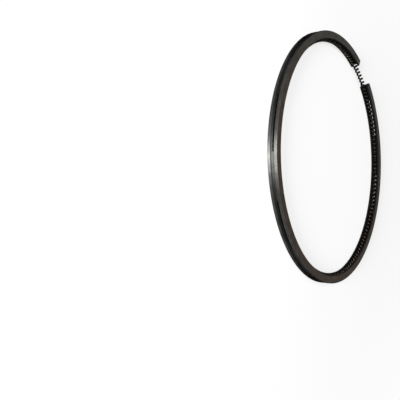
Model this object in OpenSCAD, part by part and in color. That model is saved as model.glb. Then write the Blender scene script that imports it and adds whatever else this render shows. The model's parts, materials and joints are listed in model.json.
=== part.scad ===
// Coil-loaded oil control piston ring, in its free state with the ends sprung apart.
// The ring lies flat: its axis is +Z, the lower side face is at z = 0 and the end gap is centred on -X.
// Sizes are in millimetres.

/* [Ring] */
// Bore of the cylinder that the ring runs in
bore_d = 78; // [66:1:96]
// Width of the ring along its axis
ring_h = 3; // [2.8:0.1:4]
// Radial thickness of the ring's wall
wall_t = 2.45; // [2.1:0.05:2.8]
// Opening between the ends of the free ring, straight across the outside
free_gap = 11; // [6:0.2:16]
// Opening left between the ends once the ring is squeezed into its bore
closed_gap = 0.35; // [0.2:0.05:0.6]
// Bevel on the outer corner of each end
end_bevel = 0.35; // [0.1:0.05:0.5]
// Chamfer along the two inner edges
inner_chamfer = 0.15; // [0.05:0.05:0.3]

/* [Running lands] */
// Width of the groove between the two lands, where it opens
groove_w = 1.2; // [1:0.05:1.4]
// Depth of the groove below the lands
groove_depth = 0.6; // [0.4:0.05:0.75]
// How far each groove wall leans in at the groove's floor
groove_draft = 0.1; // [0.02:0.02:0.12]
// Bevel on the outer edge of each land
land_bevel = 0.12; // [0.05:0.01:0.2]

/* [Drain slots] */
// Number of slots round the ring
slot_count = 8; // [4:1:10]
// Length of a slot, straight across the floor of the groove
slot_len = 16.5; // [11:0.5:20]
// Height of a slot along the ring's axis
slot_h = 0.45; // [0.4:0.05:0.8]
// Radius of the disc that cuts the slots
cutter_r = 11; // [10:0.5:20]
// Run of unbroken groove from each end to the middle of its nearest slot, along the floor
end_run = 14; // [12:0.2:18]

/* [Coil expander] */
// Inside diameter of the coil
coil_bore = 0.38; // [0.3:0.02:0.44]
// Diameter of the coil's wire
wire_d = 0.66; // [0.4:0.02:0.68]
// Number of turns round the ring
coil_turns = 150; // [100:2:160]
// Room between the coil and its seat in the ring
seat_clear = 0.08; // [0.05:0.01:0.12]
// Space between the two ends of the coil, which meet opposite the gap
butt_gap = 0.3; // [0.1:0.05:0.6]

/* [Latch wire] */
// Room all round between the coil and the wire inside it that holds its ends in line
latch_clear = 0.05; // [0.03:0.01:0.1]
// Length of that wire
latch_len = 37; // [20:1:60]

/* [Hidden] */
// Round surfaces
$fn = 96;
// Overlap of cutting tools past the faces that they cut
past = 1;
// Direction of the end gap
gap_at = 180;
// Stations along one turn of the coil, and corners of the wire's section
turn_steps = 8;
wire_sides = 4;
// The side of that section that faces the coil's inside
inner_side = 1;

mid_z = ring_h / 2;
free_r = (bore_d + (free_gap - closed_gap) / PI) / 2;
inner_r = free_r - wall_t;
floor_r = free_r - groove_depth;
gap_deg = 2 * asin(free_gap / 2 / free_r);

// The seat is half round, centred on the inner face, and the coil lies along the same circle
coil_r = inner_r;
coil_d = coil_bore + 2 * wire_d;
seat_r = coil_d / 2 + seat_clear;

// The cutting disc stands outside the ring, far enough in for the slot's length
cutter_x = sqrt(pow(floor_r, 2) - pow(slot_len / 2, 2)) + sqrt(pow(cutter_r, 2) - pow(slot_len / 2, 2));
end_run_deg = end_run / floor_r * 180 / PI;
slot_pitch = (360 - gap_deg - 2 * end_run_deg) / (slot_count - 1);

// Lower half of the wall's section, from the inner face round to the groove's floor
lower_section = [
    [inner_r, inner_chamfer],
    [inner_r + inner_chamfer, 0],
    [free_r - land_bevel, 0],
    [free_r, land_bevel],
    [free_r, mid_z - groove_w / 2],
    [floor_r, mid_z - groove_w / 2 + groove_draft]
];
upper_section = [for (i = [len(lower_section) - 1 : -1 : 0]) [lower_section[i].x, ring_h - lower_section[i].y]];

// The wire's corners stand out so that the section keeps the area of the round wire
wire_corner_r = wire_d / 2 * sqrt(2 * PI / (wire_sides * sin(360 / wire_sides)));
helix_r = (coil_d - wire_d) / 2;
coil_span = 360 - butt_gap / coil_r * 180 / PI;
coil_steps = coil_turns * turn_steps;
latch_d = coil_bore - 2 * latch_clear;
latch_deg = latch_len / coil_r * 180 / PI;

function unit(v) = v / norm(v);

// Corner k of the wire's section at station i. The turns wind up on the outside of the coil as the
// angle grows, which makes it a left-hand coil.
function wire_corner(i, k) =
    let (
        turn = i * 360 / turn_steps,
        around = gap_at + 180 + (360 - coil_span) / 2 + i * coil_span / coil_steps,
        outward = [cos(around), sin(around), 0],
        onward = [-sin(around), cos(around), 0],
        up = [0, 0, 1],
        r = coil_r + helix_r * cos(turn),
        centre = r * outward + (mid_z + helix_r * sin(turn)) * up,
        advance = coil_span / (360 * coil_turns),
        along = unit(-helix_r * sin(turn) * outward + r * advance * onward + helix_r * cos(turn) * up),
        out_of_turn = cos(turn) * outward + sin(turn) * up,
        across = cross(along, out_of_turn),
        corner = (k + 0.5) * 360 / wire_sides
    )
    centre + wire_corner_r * (cos(corner) * out_of_turn + sin(corner) * across);

function corner_index(i, k) = i * wire_sides + k % wire_sides;

module wall_section() {
    difference() {
        polygon(concat(lower_section, upper_section));
        translate([coil_r, mid_z]) circle(r = seat_r);
    }
}

// Wedge that takes the outer corner off an end whose face lies along +X
module end_corner_cut() {
    translate([0, 0, -past])
        linear_extrude(ring_h + 2 * past)
            polygon([
                [free_r - end_bevel - past, -past],
                [free_r + past, -past],
                [free_r + past, end_bevel + past]
            ]);
}

module slot_cut() {
    translate([cutter_x, 0, mid_z]) cylinder(r = cutter_r, h = slot_h, center = true);
}

module ring_body() {
    color([0.23, 0.22, 0.21])
        difference() {
            rotate_extrude(angle = 360 - gap_deg, start = gap_at + gap_deg / 2) wall_section();
            rotate(gap_at + gap_deg / 2) end_corner_cut();
            rotate(gap_at - gap_deg / 2) mirror([0, 1, 0]) end_corner_cut();
            for (i = [0 : slot_count - 1])
                rotate(gap_at + gap_deg / 2 + end_run_deg + i * slot_pitch) slot_cut();
        }
}

module coil_expander() {
    corners = [for (i = [0 : coil_steps]) for (k = [0 : wire_sides - 1]) wire_corner(i, k)];
    // The inner side is split along its other diagonal, so that no facet cuts across the coil's inside
    sides = [
        for (i = [0 : coil_steps - 1])
            for (k = [0 : wire_sides - 1])
                let (
                    a = corner_index(i, k),
                    b = corner_index(i, k + 1),
                    c = corner_index(i + 1, k + 1),
                    d = corner_index(i + 1, k)
                )
                each k == inner_side ? [[a, b, d], [b, c, d]] : [[a, b, c], [a, c, d]]
    ];
    first_end = [for (k = [wire_sides - 1 : -1 : 0]) corner_index(0, k)];
    last_end = [for (k = [0 : wire_sides - 1]) corner_index(coil_steps, k)];
    color([0.3, 0.29, 0.27])
        polyhedron(points = corners, faces = concat(sides, [first_end, last_end]));
}

module latch_wire() {
    color([0.55, 0.54, 0.5])
        translate([0, 0, mid_z])
            rotate_extrude(angle = latch_deg, start = gap_at + 180 - latch_deg / 2)
                translate([coil_r, 0]) circle(d = latch_d);
}

ring_body();
coil_expander();
latch_wire();
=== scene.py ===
import json
import math
from collections import namedtuple

import bmesh
import bpy
from mathutils import Matrix, Vector


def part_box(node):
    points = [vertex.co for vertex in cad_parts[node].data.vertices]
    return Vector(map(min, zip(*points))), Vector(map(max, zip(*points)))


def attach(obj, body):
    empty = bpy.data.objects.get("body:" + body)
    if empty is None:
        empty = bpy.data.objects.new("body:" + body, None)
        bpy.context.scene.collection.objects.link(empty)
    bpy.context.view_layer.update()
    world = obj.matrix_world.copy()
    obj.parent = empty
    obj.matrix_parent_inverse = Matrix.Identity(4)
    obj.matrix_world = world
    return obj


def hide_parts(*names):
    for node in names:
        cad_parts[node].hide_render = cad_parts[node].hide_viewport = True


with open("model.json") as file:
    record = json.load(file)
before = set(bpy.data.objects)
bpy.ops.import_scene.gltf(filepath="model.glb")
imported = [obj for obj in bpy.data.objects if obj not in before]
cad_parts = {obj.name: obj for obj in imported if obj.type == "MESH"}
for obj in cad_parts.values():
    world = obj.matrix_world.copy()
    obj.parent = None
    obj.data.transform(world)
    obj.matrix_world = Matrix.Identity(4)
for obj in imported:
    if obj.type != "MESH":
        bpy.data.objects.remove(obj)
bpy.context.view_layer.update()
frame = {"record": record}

# The pieces and the viewpoint are worked out in millimetres and scaled once, when they are made. The stage
# is in metres.
MM = 0.001
UP = Vector((0, 0, 1))

# Sizes of the ring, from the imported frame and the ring's driving dimensions
mounts = {mount["name"]: mount for mount in frame["record"]["mounts"]}
ring_low, ring_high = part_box("ring_body")
FREE_R = mounts["running_face"]["dims"]["r_mm"]
RING_H = (ring_high.z - ring_low.z) / MM
MID_Z = RING_H / 2
WALL_T = 2.45
FREE_GAP = 11
END_BEVEL = 0.35
INNER_CHAMFER = 0.15
GROOVE_W = 1.2
GROOVE_DEPTH = 0.6
GROOVE_DRAFT = 0.1
LAND_BEVEL = 0.12
SLOT_COUNT = 8
SLOT_LEN = 16.5
SLOT_H = 0.45
CUTTER_R = 11
END_RUN = 14
COIL_BORE = 0.38
WIRE_D = 0.66
COIL_TURNS = 150
SEAT_CLEAR = 0.08
BUTT_GAP = 0.3
LATCH_CLEAR = 0.05
LATCH_LEN = 37

# Directions from the ring's axis, in degrees: the end gap, and the place where the coil's ends meet
GAP_AT = 180
BUTT_AT = GAP_AT + 180

# Sizes that follow from those; the foot of a slot is the edge where it opens into the seat
INNER_R = FREE_R - WALL_T
FLOOR_R = FREE_R - GROOVE_DEPTH
COIL_R = INNER_R
COIL_D = COIL_BORE + 2 * WIRE_D
SEAT_R = COIL_D / 2 + SEAT_CLEAR
LATCH_D = COIL_BORE - 2 * LATCH_CLEAR
GAP_DEG = 2 * math.degrees(math.asin(FREE_GAP / 2 / FREE_R))
CUTTER_X = math.sqrt(FLOOR_R**2 - SLOT_LEN**2 / 4) + math.sqrt(CUTTER_R**2 - SLOT_LEN**2 / 4)
END_RUN_DEG = math.degrees(END_RUN / FLOOR_R)
SLOT_PITCH = (360 - GAP_DEG - 2 * END_RUN_DEG) / (SLOT_COUNT - 1)
SLOT_FOOT_R = COIL_R + math.sqrt(SEAT_R**2 - SLOT_H**2 / 4)

# Rounding of the section's edges, which the solids leave sharp
EDGE_ROUND = 0.05
LAND_ROUND = 0.035
GROOVE_ROUND = 0.07
ROUND_STEPS = 4

# Fineness of the meshes, and the heights of the rows of points across a slot
STATION_DEG = 0.5
SEAT_STEPS = 12
WEB_LEVELS = 6
WEB_DEPTHS = 4
END_STEPS = 7
TURN_STEPS = 24
WIRE_SIDES = 10
LATCH_STEPS = 80
LATCH_SIDES = 16
LATCH_DOME_STEPS = 4
SLOT_LEVELS = [MID_Z + SLOT_H * (i / WEB_LEVELS - 0.5) for i in range(WEB_LEVELS + 1)]

# Angles past which an edge is shaded sharp, and the distance in metres at which a seam's points are merged
RING_SHARP_DEG = 28
WIRE_SHARP_DEG = 50
SEAM_MERGE = 1e-8

# Places of the surfaces in the ring's list of materials, and the surface of each strip in the wall's
# middle. The hollows' near-black colour is partly painted shade.
SIDE, LAND, HOLLOW_SHADED, GROOVE = 0, 1, 2, 3
STRIP_SURFACES = {"floor": HOLLOW_SHADED, "roof": HOLLOW_SHADED, "seat": HOLLOW_SHADED, "web": GROOVE}

# Colours that each surface varies between, from dark to light
COOL_PHOSPHATE = ((0.0159, 0.0153, 0.0132, 1), (0.0389, 0.0375, 0.0328, 1))
BROWN_PHOSPHATE = ((0.0168, 0.0119, 0.0088, 1), (0.0415, 0.0293, 0.0219, 1))
LAND_IRON = ((0.048, 0.0474, 0.0459, 1), (0.0888, 0.0873, 0.0844, 1))
GROOVE_IRON = ((0.029, 0.0285, 0.027, 1), (0.054, 0.053, 0.05, 1))
# Near black: a dark coating, darkened further as painted shade inside the hollows
HOLLOW_IRON_AND_SHADE = ((0.0022, 0.002, 0.0018, 1), (0.005, 0.0046, 0.0041, 1))
COIL_STEEL = ((0.0075, 0.0062, 0.0055, 1), (0.025, 0.0213, 0.0192, 1))
LATCH_STEEL = ((0.3, 0.29, 0.27, 1), (0.5, 0.49, 0.46, 1))

# Roughness in the same order, or over the range of the texture that drives it
PHOSPHATE_ROUGHNESS = (0.58, 0.74)
HOLLOW_ROUGHNESS = (0.55, 0.75)
LAND_ROUGHNESS = (0.475, 0.42)
GROOVE_ROUGHNESS = (0.58, 0.5)
COIL_ROUGHNESS = (0.36, 0.24)
LATCH_ROUGHNESS = (0.38, 0.25)

# Oil and fine lines dull a metal's reflection near grazing angles
GRAZING_TINT = (0.12, 0.12, 0.12, 1)

# How far from the middle the side face's tint shifts, and how far its patches drift
TINT_REACH = 20
TINT_DRIFT = 8

# The side face's lighter outer edge, partly wear and partly a painted edge highlight: its colour, how far
# in from the outer edge it starts and is full, and its most
WORN_AND_SHINING_PHOSPHATE = (0.08, 0.072, 0.062, 1)
WEAR_AND_SHINE_START = 0.32
WEAR_AND_SHINE_FULL = 0.1
WEAR_AND_SHINE_SHARE = 0.5

# Fineness of the lines on drawn wire, along it and round it
DRAWN_ALONG = 0.4
DRAWN_ROUND = 3

# Places of a Mix node's colour sockets, which share their names with those for numbers and vectors
MIX_ONE, MIX_OTHER, MIX_RESULT = 6, 7, 2

# The photograph's viewpoint, as a place, a point on the floor that it looks at and a roll
CAMERA_AT = Vector((111.75, -131.11, 76.62))
CAMERA_AIM = Vector((52.62, -49.3, 0))
CAMERA_ROLL = 90.16
CAMERA_LENS = 49.88
CLIP_NEAR = 0.005
CLIP_FAR = 20

# The stage: how far out the floor turns from lit to plain white, and its share of plain white there
FLOOR_HALF = 2
FLOOR_FADE = (0.05, 0.14)
FLOOR_PLAIN = (0.7, 1)
FLOOR_COLOUR = (0.93, 0.93, 0.93, 1)
WHITE = (1, 1, 1, 1)
WORLD_LIGHT = 0.12

# A station of the sweep round the ring. Its kind is web where the wall is whole, open where a slot cuts it
# and mouth at a slot's end wall. The rounding runs from 0 at an end face to 1 past its rounded corner. The
# side is -1 at the mouth where a slot starts and 1 where it stops.
Station = namedtuple("Station", "kind angle rounding side", defaults=(1, 0))


def add_camera():
    forward = (CAMERA_AIM - CAMERA_AT).normalized()
    level = forward.cross(UP).normalized()
    upright = level.cross(forward)
    roll = math.radians(CAMERA_ROLL)
    right = level * math.cos(roll) + upright * math.sin(roll)
    top = right.cross(forward)
    data = bpy.data.cameras.new("camera")
    data.lens = CAMERA_LENS
    data.clip_start = CLIP_NEAR
    data.clip_end = CLIP_FAR
    camera = bpy.data.objects.new("camera", data)
    turn = Matrix((right, top, -forward)).transposed().to_4x4()
    camera.matrix_world = Matrix.Translation(CAMERA_AT * MM) @ turn
    bpy.context.scene.collection.objects.link(camera)
    bpy.context.scene.camera = camera


def polar(radius, degrees, z):
    turn = math.radians(degrees)
    return Vector((radius * math.cos(turn), radius * math.sin(turn), z))


def spread(start, end, step):
    """Angles from start to end, both included, no further apart than step."""
    count = max(1, math.ceil(abs(end - start) / step))
    return [start + (end - start) * i / count for i in range(count + 1)]


def make_piece(name, points, faces, surfaces, materials, sharp_deg, uv=None):
    """Mesh object from points in millimetres, with smooth faces that break at real edges."""
    mesh = bpy.data.meshes.new(name)
    mesh.from_pydata([p * MM for p in points], [], faces)
    for material in materials:
        mesh.materials.append(material)
    mesh.polygons.foreach_set("material_index", surfaces)
    if uv:
        layer = mesh.uv_layers.new(name="along_and_round")
        for loop, place in zip(layer.data, (uv[i] for face in faces for i in face)):
            loop.uv = place
    work = bmesh.new()
    work.from_mesh(mesh)
    bmesh.ops.triangulate(work, faces=[f for f in work.faces if len(f.verts) > 4])
    if uv:
        # The seam that the UV needs is closed again in the mesh
        bmesh.ops.remove_doubles(work, verts=work.verts, dist=SEAM_MERGE)
    bmesh.ops.recalc_face_normals(work, faces=work.faces)
    work.to_mesh(mesh)
    work.free()
    mesh.shade_smooth()
    mesh.set_sharp_from_angle(angle=math.radians(sharp_deg))
    piece = bpy.data.objects.new(name, mesh)
    bpy.context.scene.collection.objects.link(piece)
    return piece


def rounded_corner(before, corner, after, radius):
    """Points of the arc that rounds one corner of an outline."""
    back = (before - corner).normalized()
    on = (after - corner).normalized()
    half = back.angle(on) / 2
    reach = radius / math.tan(half)
    centre = corner + (back + on).normalized() * radius / math.sin(half)
    first = corner + back * reach - centre
    last = corner + on * reach - centre
    arc = []
    for i in range(ROUND_STEPS + 1):
        spoke = first.lerp(last, i / ROUND_STEPS).normalized()
        arc.append(centre + spoke * radius)
    return arc


def lower_outline():
    """Lower half of the wall's section as (radius, height) points, and the surface that follows each point.
    It runs from the edge of a slot in the seat round to the slot's edge in the groove."""
    first = -math.asin(SLOT_H / 2 / SEAT_R)
    points, surfaces = [], []
    for i in range(SEAT_STEPS):
        turn = first + (-math.pi / 2 - first) * i / SEAT_STEPS
        points.append(Vector((COIL_R + SEAT_R * math.cos(turn), MID_Z + SEAT_R * math.sin(turn))))
        surfaces.append(HOLLOW_SHADED)
    groove_foot = MID_Z - GROOVE_W / 2
    corners = [
        ((INNER_R, MID_Z - SEAT_R), EDGE_ROUND, HOLLOW_SHADED),
        ((INNER_R, INNER_CHAMFER), EDGE_ROUND, HOLLOW_SHADED),
        ((INNER_R + INNER_CHAMFER, 0), EDGE_ROUND, SIDE),
        ((FREE_R - LAND_BEVEL, 0), EDGE_ROUND, LAND),
        ((FREE_R, LAND_BEVEL), EDGE_ROUND, LAND),
        ((FREE_R, groove_foot), LAND_ROUND, GROOVE),
        ((FLOOR_R, groove_foot + GROOVE_DRAFT), GROOVE_ROUND, GROOVE),
    ]
    slot_edge = Vector((FLOOR_R, MID_Z - SLOT_H / 2))
    path = [points[-1]] + [Vector(corner) for corner, _, _ in corners] + [slot_edge]
    for i, (_, radius, surface) in enumerate(corners):
        arc = rounded_corner(path[i], path[i + 1], path[i + 2], radius)
        points += arc
        surfaces += [surface] * len(arc)
    points.append(slot_edge)
    return points, surfaces


def slot_half_deg(radius):
    """Half the angle that a slot takes at a radius: the disc that cuts it leaves rounded ends."""
    return math.degrees(math.acos((radius**2 + CUTTER_X**2 - CUTTER_R**2) / (2 * radius * CUTTER_X)))


def web_radius(z):
    """Radius of the seat's bottom at a height within the slot."""
    return COIL_R + math.sqrt(SEAT_R**2 - (z - MID_Z) ** 2)


def ring_stations():
    """Stations round the ring, from one end to the other."""
    shallow = slot_half_deg(SLOT_FOOT_R)
    deep = slot_half_deg(FLOOR_R)
    first = GAP_AT + GAP_DEG / 2
    last = GAP_AT + 360 - GAP_DEG / 2
    end_deg = math.degrees(END_BEVEL / FREE_R)
    # The rounding of the ends bunches its stations towards the end face
    rounding = [1 - math.cos(math.pi / 2 * i / END_STEPS) for i in range(END_STEPS)]
    stations = [Station("web", first + end_deg * t, rounding=t) for t in rounding]
    start = first + end_deg
    for i in range(SLOT_COUNT):
        centre = first + END_RUN_DEG + i * SLOT_PITCH
        stations += [Station("web", a) for a in spread(start, centre - deep - STATION_DEG, STATION_DEG)]
        stations.append(Station("mouth", centre, side=-1))
        inside = shallow - STATION_DEG
        stations += [Station("open", a) for a in spread(centre - inside, centre + inside, STATION_DEG)]
        stations.append(Station("mouth", centre, side=1))
        start = centre + deep + STATION_DEG
    stations += [Station("web", a) for a in spread(start, last - end_deg, STATION_DEG)]
    stations += [Station("web", last - end_deg * t, rounding=t) for t in reversed(rounding)]
    return stations


class Wall:
    """The ring's wall while it is swept round: its points, its faces and the surface of each face."""

    def __init__(self):
        self.points, self.faces, self.surfaces = [], [], []

    def put(self, radius, z, station):
        """Adds a point of a station, and returns its place in the list."""
        angle = station.angle
        if station.kind == "mouth":
            angle += station.side * slot_half_deg(min(max(radius, SLOT_FOOT_R), FLOOR_R))
        elif station.rounding < 1:
            # Quarter round on the outer corner of an end
            drop = 1 - math.sqrt(1 - (1 - station.rounding) ** 2)
            radius = min(radius, FREE_R - END_BEVEL * drop)
        self.points.append(polar(radius, angle, z))
        return len(self.points) - 1

    def strip(self, one, other, surfaces):
        """Adds the faces between two rows of points, each with its surface."""
        for i in range(len(one) - 1):
            self.faces.append((one[i], one[i + 1], other[i + 1], other[i]))
            self.surfaces.append(surfaces[i])


def add_web(wall, row, station):
    """The seat's bottom and the groove's floor, where no slot is cut."""
    lower, upper = row["lower"], row["upper"]
    inner = [wall.put(web_radius(z), z, station) for z in SLOT_LEVELS[1:-1]]
    outer = [wall.put(FLOOR_R, z, station) for z in SLOT_LEVELS[1:-1]]
    row["seat"] = [lower[0]] + inner + [upper[0]]
    row["web"] = [lower[-1]] + outer + [upper[-1]]


def add_slot_faces(wall, row, station):
    """The floor and roof of a slot, from the seat out to the groove."""
    depth = FLOOR_R - SLOT_FOOT_R
    radii = [SLOT_FOOT_R + depth * j / WEB_DEPTHS for j in range(1, WEB_DEPTHS)]
    for name, edge, level in (
        ("floor", row["lower"], SLOT_LEVELS[0]),
        ("roof", row["upper"], SLOT_LEVELS[-1]),
    ):
        row[name] = [edge[0]] + [wall.put(r, level, station) for r in radii] + [edge[-1]]


def add_slot_end(wall, row, station):
    """The end wall of a slot, as a grid of heights and depths that shares its corners with the outlines."""
    edges = {0: row["lower"], WEB_LEVELS: row["upper"]}
    grid = []
    for i, level in enumerate(SLOT_LEVELS):
        line = []
        for j in range(WEB_DEPTHS + 1):
            if i in edges and j in (0, WEB_DEPTHS):
                line.append(edges[i][0 if j == 0 else -1])
            else:
                radius = web_radius(level) + (FLOOR_R - web_radius(level)) * j / WEB_DEPTHS
                line.append(wall.put(radius, level, station))
        grid.append(line)
    for one, other in zip(grid, grid[1:]):
        wall.strip(one, other, [HOLLOW_SHADED] * WEB_DEPTHS)
    row["floor"], row["roof"] = grid[0], grid[-1]
    row["seat"] = [line[0] for line in grid]
    row["web"] = [line[-1] for line in grid]


def ring_mesh(materials):
    """The ring's wall, swept round from end to end, with the slots left open between their rounded ends."""
    outline, outline_surfaces = lower_outline()
    add_middle = {"web": add_web, "open": add_slot_faces, "mouth": add_slot_end}
    wall = Wall()
    rows = []
    for station in ring_stations():
        row = {
            "lower": [wall.put(p.x, p.y, station) for p in outline],
            "upper": [wall.put(p.x, RING_H - p.y, station) for p in outline],
        }
        add_middle[station.kind](wall, row, station)
        if rows:
            for name in ("lower", "upper"):
                wall.strip(rows[-1][name], row[name], outline_surfaces)
            opened = station.kind == "open" or station.side > 0
            for name in ("floor", "roof") if opened else ("seat", "web"):
                wall.strip(rows[-1][name], row[name], [STRIP_SURFACES[name]] * len(row[name]))
        rows.append(row)
    for row in (rows[0], rows[-1]):
        # The end faces take the hollows' near-black colour, which is partly painted shade
        end_face = row["lower"] + row["web"][1:-1] + row["upper"][::-1] + row["seat"][-2:0:-1]
        wall.faces.append(end_face)
        wall.surfaces.append(HOLLOW_SHADED)
    return make_piece("slotted_ring", wall.points, wall.faces, wall.surfaces, materials, RING_SHARP_DEG)


def tube(name, centres, spokes, radii, sides, material):
    """Round wire along a line of centres, with flat ends and a UV that runs along it and round it.
    Each pair of spokes spans the wire's section at a centre."""
    points, faces, uv = [], [], []
    run = 0
    for i, (centre, (out, across), radius) in enumerate(zip(centres, spokes, radii)):
        if i:
            run += (centre - centres[i - 1]).length
        for k in range(sides + 1):
            turn = 2 * math.pi * k / sides
            points.append(centre + (out * math.cos(turn) + across * math.sin(turn)) * radius)
            uv.append((run, k / sides))
    row = sides + 1
    for i in range(len(centres) - 1):
        for k in range(sides):
            a = i * row + k
            faces.append((a, a + 1, a + row + 1, a + row))
    faces.append(tuple(range(sides)))
    faces.append(tuple((len(centres) - 1) * row + k for k in range(sides)))
    return make_piece(name, points, faces, [0] * len(faces), [material], WIRE_SHARP_DEG, uv)


def coil_mesh(material):
    """The coil's round wire, wound on the same left-hand helix as its solid."""
    span = 360 - math.degrees(BUTT_GAP / COIL_R)
    helix_r = (COIL_D - WIRE_D) / 2
    steps = COIL_TURNS * TURN_STEPS
    start = BUTT_AT + (360 - span) / 2
    advance = span / (360 * COIL_TURNS)
    centres, spokes = [], []
    for i in range(steps + 1):
        turn = 2 * math.pi * i / TURN_STEPS
        around = start + i * span / steps
        outward = polar(1, around, 0)
        onward = polar(1, around + 90, 0)
        r = COIL_R + helix_r * math.cos(turn)
        out = outward * math.cos(turn) + UP * math.sin(turn)
        along = onward * r * advance + (UP * math.cos(turn) - outward * math.sin(turn)) * helix_r
        centres.append(outward * r + UP * (MID_Z + helix_r * math.sin(turn)))
        spokes.append((out, along.normalized().cross(out)))
    radii = [WIRE_D / 2] * len(centres)
    return tube("expander_coil", centres, spokes, radii, WIRE_SIDES, material)


def latch_mesh(material):
    """The wire inside the coil's meeting ends, with its tips rounded over."""
    span = math.degrees(LATCH_LEN / COIL_R)
    tip = math.degrees(LATCH_D / 2 / COIL_R)
    dome = [1 - math.cos(math.pi / 2 * (i + 0.5) / LATCH_DOME_STEPS) for i in range(LATCH_DOME_STEPS)]
    angles = [-span / 2 + tip * t for t in dome]
    angles += spread(-span / 2 + tip, span / 2 - tip, span / LATCH_STEPS)
    angles += [span / 2 - tip * t for t in reversed(dome)]
    centres, spokes, radii = [], [], []
    for a in angles:
        to_end = min(1, (span / 2 - abs(a)) / tip)
        centres.append(polar(COIL_R, BUTT_AT + a, MID_Z))
        spokes.append((polar(1, BUTT_AT + a, 0), UP))
        radii.append(LATCH_D / 2 * math.sqrt(1 - (1 - to_end) ** 2))
    return tube("latch_pin", centres, spokes, radii, LATCH_SIDES, material)


def node(tree, kind, inputs=(), **settings):
    """Adds a shader node and returns its outputs. An input is named by its socket's name or place, and is a
    plain value or another node's output."""
    made = tree.nodes.new("ShaderNode" + kind)
    for name, value in settings.items():
        setattr(made, name, value)
    for key, value in dict(inputs).items():
        if isinstance(value, bpy.types.NodeSocket):
            tree.links.new(value, made.inputs[key])
        else:
            made.inputs[key].default_value = value
    return made.outputs


def math_node(tree, operation, one, other=0):
    return node(tree, "Math", {0: one, 1: other}, operation=operation)[0]


def weighted_sum(tree, one, other):
    """Sum of two values, each given with its share."""
    return math_node(tree, "ADD", math_node(tree, "MULTIPLY", *one), math_node(tree, "MULTIPLY", *other))


def noise(tree, vector, scale, detail):
    return node(tree, "TexNoise", {"Vector": vector, "Scale": scale, "Detail": detail})[0]


def remap(tree, value, source, target=(0, 1)):
    """Takes a value from the source range to the target range, and holds it at the ends."""
    ends = {"From Min": source[0], "From Max": source[1], "To Min": target[0], "To Max": target[1]}
    return node(tree, "MapRange", {"Value": value, **ends})[0]


def mix_colour(tree, factor, one, other):
    inputs = {"Factor": factor, MIX_ONE: one, MIX_OTHER: other}
    return node(tree, "Mix", inputs, data_type="RGBA")[MIX_RESULT]


def bumped(tree, height, strength, depth):
    """Normal of a surface whose height varies over a depth in millimetres."""
    return node(tree, "Bump", {"Height": height, "Strength": strength, "Distance": depth * MM})[0]


def new_material(name):
    material = bpy.data.materials.new(name)
    material.use_nodes = True
    material.node_tree.nodes.clear()
    return material, material.node_tree


def finish_material(tree, shader):
    node(tree, "OutputMaterial", {"Surface": shader})


def place_mm(tree):
    """A point on a piece, in millimetres."""
    place = node(tree, "TexCoord")["Object"]
    return node(tree, "VectorMath", {"Vector": place, "Scale": 1 / MM}, operation="SCALE")["Vector"]


def from_axis(tree, place):
    """Distance of a place from the ring's axis."""
    x, y, _ = node(tree, "SeparateXYZ", {"Vector": place})
    flat = node(tree, "CombineXYZ", {"X": x, "Y": y})["Vector"]
    return node(tree, "VectorMath", {"Vector": flat}, operation="LENGTH")["Value"]


def lapped_lines(tree, place, along, across):
    """Noise drawn out into fine lines that follow the ring round, with their fineness along and across."""
    x, y, z = node(tree, "SeparateXYZ", {"Vector": place})
    run = math_node(tree, "MULTIPLY", math_node(tree, "ARCTAN2", y, x), FREE_R)
    drawn = node(tree, "CombineXYZ", {
        "X": math_node(tree, "MULTIPLY", run, along),
        "Y": math_node(tree, "MULTIPLY", from_axis(tree, place), across),
        "Z": math_node(tree, "MULTIPLY", z, across),
    })["Vector"]
    return noise(tree, drawn, scale=1, detail=4)


def side_material():
    """Dark phosphate on the side faces: browner opposite the gap, lighter along the outer edge from wear
    and a painted edge highlight.
    """
    material, tree = new_material("ring_phosphate")
    place = place_mm(tree)
    blotch = noise(tree, place, scale=0.35, detail=5)
    crystal = noise(tree, place, scale=7, detail=4)
    lines = lapped_lines(tree, place, along=0.12, across=11)
    shade = remap(tree, weighted_sum(tree, (blotch, 0.55), (crystal, 0.45)), source=(0.36, 0.64))
    x = node(tree, "SeparateXYZ", {"Vector": place})["X"]
    drift = remap(tree, blotch, source=(0.3, 0.7), target=(-TINT_DRIFT, TINT_DRIFT))
    brown = remap(tree, math_node(tree, "ADD", x, drift), source=(-TINT_REACH, TINT_REACH))
    dark, light = (mix_colour(tree, brown, *pair) for pair in zip(COOL_PHOSPHATE, BROWN_PHOSPHATE))
    colour = mix_colour(tree, shade, dark, light)
    # Lighter band along the outer edge: rubbed wear plus a painted edge highlight
    edge = remap(tree, from_axis(tree, place), source=(FREE_R - WEAR_AND_SHINE_START, FREE_R - WEAR_AND_SHINE_FULL))
    rubbed_and_shining = remap(tree, crystal, source=(0.45, 0.7), target=(0, WEAR_AND_SHINE_SHARE))
    colour = mix_colour(tree, math_node(tree, "MULTIPLY", edge, rubbed_and_shining), colour, WORN_AND_SHINING_PHOSPHATE)
    grain = math_node(tree, "ADD", lines, crystal)
    height = weighted_sum(tree, (lines, 0.6), (crystal, 0.6))
    shader = node(tree, "BsdfPrincipled", {
        "Base Color": colour,
        "Roughness": remap(tree, grain, source=(0.75, 1.25), target=PHOSPHATE_ROUGHNESS),
        "Normal": bumped(tree, height, strength=0.35, depth=0.012),
        "Specular IOR Level": 0.065,
    })[0]
    finish_material(tree, shader)
    return material


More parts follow.
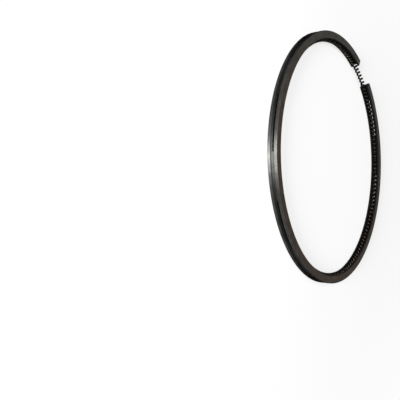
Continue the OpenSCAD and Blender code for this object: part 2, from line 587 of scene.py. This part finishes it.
def turned_material(name, colours, roughness):
    """Iron turned or ground round the ring: the fine lines spread the shine along the axis."""
    material, tree = new_material(name)
    place = place_mm(tree)
    lines = lapped_lines(tree, place, along=0.05, across=16)
    patch = noise(tree, place, scale=0.5, detail=4)
    shade = remap(tree, weighted_sum(tree, (lines, 0.5), (patch, 0.5)), source=(0.38, 0.62))
    shader = node(tree, "BsdfPrincipled", {
        "Base Color": mix_colour(tree, shade, *colours),
        "Roughness": remap(tree, shade, source=(0, 1), target=roughness),
        "Normal": bumped(tree, lines, strength=0.3, depth=0.01),
        "Metallic": 1,
        "Anisotropic": 0.92,
        "Anisotropic Rotation": 0.25,
        "Tangent": node(tree, "Tangent", direction_type="RADIAL", axis="Z")[0],
        "Specular Tint": GRAZING_TINT,
    })[0]
    finish_material(tree, shader)
    return material


def hollow_shade_material():
    """Slots, seat, inner edges and end faces: milled, and coloured near black, a dark coating darkened
    further as painted shade of the ring's hollows.
    """
    material, tree = new_material("ring_hollow_painted_shade")
    place = place_mm(tree)
    crystal = noise(tree, place, scale=6, detail=4)
    blotch = noise(tree, place, scale=0.6, detail=3)
    shade = remap(tree, math_node(tree, "ADD", crystal, blotch), source=(0.8, 1.2))
    shader = node(tree, "BsdfPrincipled", {
        # Near-black colour: dark coating plus painted shade of the hollows
        "Base Color": mix_colour(tree, shade, *HOLLOW_IRON_AND_SHADE),
        "Roughness": remap(tree, crystal, source=(0.35, 0.65), target=HOLLOW_ROUGHNESS),
        "Normal": bumped(tree, crystal, strength=0.4, depth=0.015),
        "Specular IOR Level": 0.04,
    })[0]
    finish_material(tree, shader)
    return material


def wire_material(name, colours, roughness):
    """Drawn wire: fine lines along it, tarnish in patches."""
    material, tree = new_material(name)
    u, v, _ = node(tree, "SeparateXYZ", {"Vector": node(tree, "TexCoord")["UV"]})
    turn = math_node(tree, "MULTIPLY", v, 2 * math.pi)
    drawn = node(tree, "CombineXYZ", {
        "X": math_node(tree, "MULTIPLY", u, DRAWN_ALONG),
        "Y": math_node(tree, "MULTIPLY", math_node(tree, "COSINE", turn), DRAWN_ROUND),
        "Z": math_node(tree, "MULTIPLY", math_node(tree, "SINE", turn), DRAWN_ROUND),
    })["Vector"]
    lines = noise(tree, drawn, scale=2, detail=4)
    tarnish = noise(tree, place_mm(tree), scale=0.8, detail=4)
    shade = remap(tree, weighted_sum(tree, (lines, 0.4), (tarnish, 0.6)), source=(0.38, 0.62))
    shader = node(tree, "BsdfPrincipled", {
        "Base Color": mix_colour(tree, shade, *colours),
        "Roughness": remap(tree, shade, source=(0, 1), target=roughness),
        "Normal": bumped(tree, lines, strength=0.25, depth=0.008),
        "Metallic": 1,
        "Specular Tint": GRAZING_TINT,
    })[0]
    finish_material(tree, shader)
    return material


def seen_directly(tree):
    """1 for rays that show a backdrop: from the camera, a reflection or a clear body."""
    path = node(tree, "LightPath")
    seen = math_node(tree, "MAXIMUM", path["Is Camera Ray"], path["Is Glossy Ray"])
    return math_node(tree, "MAXIMUM", seen, path["Is Transmission Ray"])


def add_floor():
    """White floor that takes the ring's shadow and fades to plain white away from it."""
    mesh = bpy.data.meshes.new("floor")
    corners = [(x * FLOOR_HALF, y * FLOOR_HALF, 0) for x, y in ((-1, -1), (1, -1), (1, 1), (-1, 1))]
    mesh.from_pydata(corners, [], [(0, 1, 2, 3)])
    floor = bpy.data.objects.new("floor", mesh)
    floor.location.z = ring_low.z
    bpy.context.scene.collection.objects.link(floor)
    material, tree = new_material("floor_white")
    place = node(tree, "TexCoord")["Object"]
    away = node(tree, "VectorMath", {"Vector": place}, operation="LENGTH")["Value"]
    fade = remap(tree, away, source=FLOOR_FADE, target=FLOOR_PLAIN)
    plain = math_node(tree, "MULTIPLY", fade, seen_directly(tree))
    lit = node(tree, "BsdfDiffuse", {"Color": FLOOR_COLOUR})[0]
    white = node(tree, "Emission", {"Color": WHITE, "Strength": 1})[0]
    finish_material(tree, node(tree, "MixShader", {0: plain, 1: lit, 2: white})[0])
    mesh.materials.append(material)


def add_world():
    """White surround that lights the ring only a little, and shows as plain white."""
    world = bpy.data.worlds.new("studio")
    world.use_nodes = True
    tree = world.node_tree
    tree.nodes.clear()
    strength = remap(tree, seen_directly(tree), source=(0, 1), target=(WORLD_LIGHT, 1))
    sky = node(tree, "Background", {"Color": WHITE, "Strength": strength})[0]
    node(tree, "OutputWorld", {"Surface": sky})
    bpy.context.scene.world = world


def add_lamp(name, azimuth, elevation, distance, size, power):
    """Square soft lamp that faces the ring; azimuth is from +X, in degrees, and distance in metres."""
    data = bpy.data.lights.new(name, "AREA")
    data.shape = "SQUARE"
    data.size = size
    data.energy = power
    lamp = bpy.data.objects.new(name, data)
    flat = distance * math.cos(math.radians(elevation))
    lamp.location = polar(flat, azimuth, distance * math.sin(math.radians(elevation)))
    lamp.rotation_euler = (-lamp.location).to_track_quat("-Z", "Y").to_euler()
    bpy.context.scene.collection.objects.link(lamp)


add_camera()
land = turned_material("ring_land", LAND_IRON, LAND_ROUGHNESS)
groove = turned_material("ring_groove", GROOVE_IRON, GROOVE_ROUGHNESS)
ring = ring_mesh([side_material(), land, hollow_shade_material(), groove])
coil = coil_mesh(wire_material("coil_wire", COIL_STEEL, COIL_ROUGHNESS))
latch = latch_mesh(wire_material("latch_steel", LATCH_STEEL, LATCH_ROUGHNESS))
for piece, node_name, slot in (
    (ring, "ring_body", "ring_iron"),
    (coil, "coil_expander", "spring_wire"),
    (latch, "latch_wire", "latch_steel"),
):
    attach(piece, "root")
    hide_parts(node_name)

add_floor()
add_world()
add_lamp("front", azimuth=-53.2, elevation=9, distance=0.6, size=0.21, power=9.6)
add_lamp("top", azimuth=-72, elevation=64, distance=0.42, size=0.3, power=1.05)
bpy.context.scene.view_settings.view_transform = "Standard"
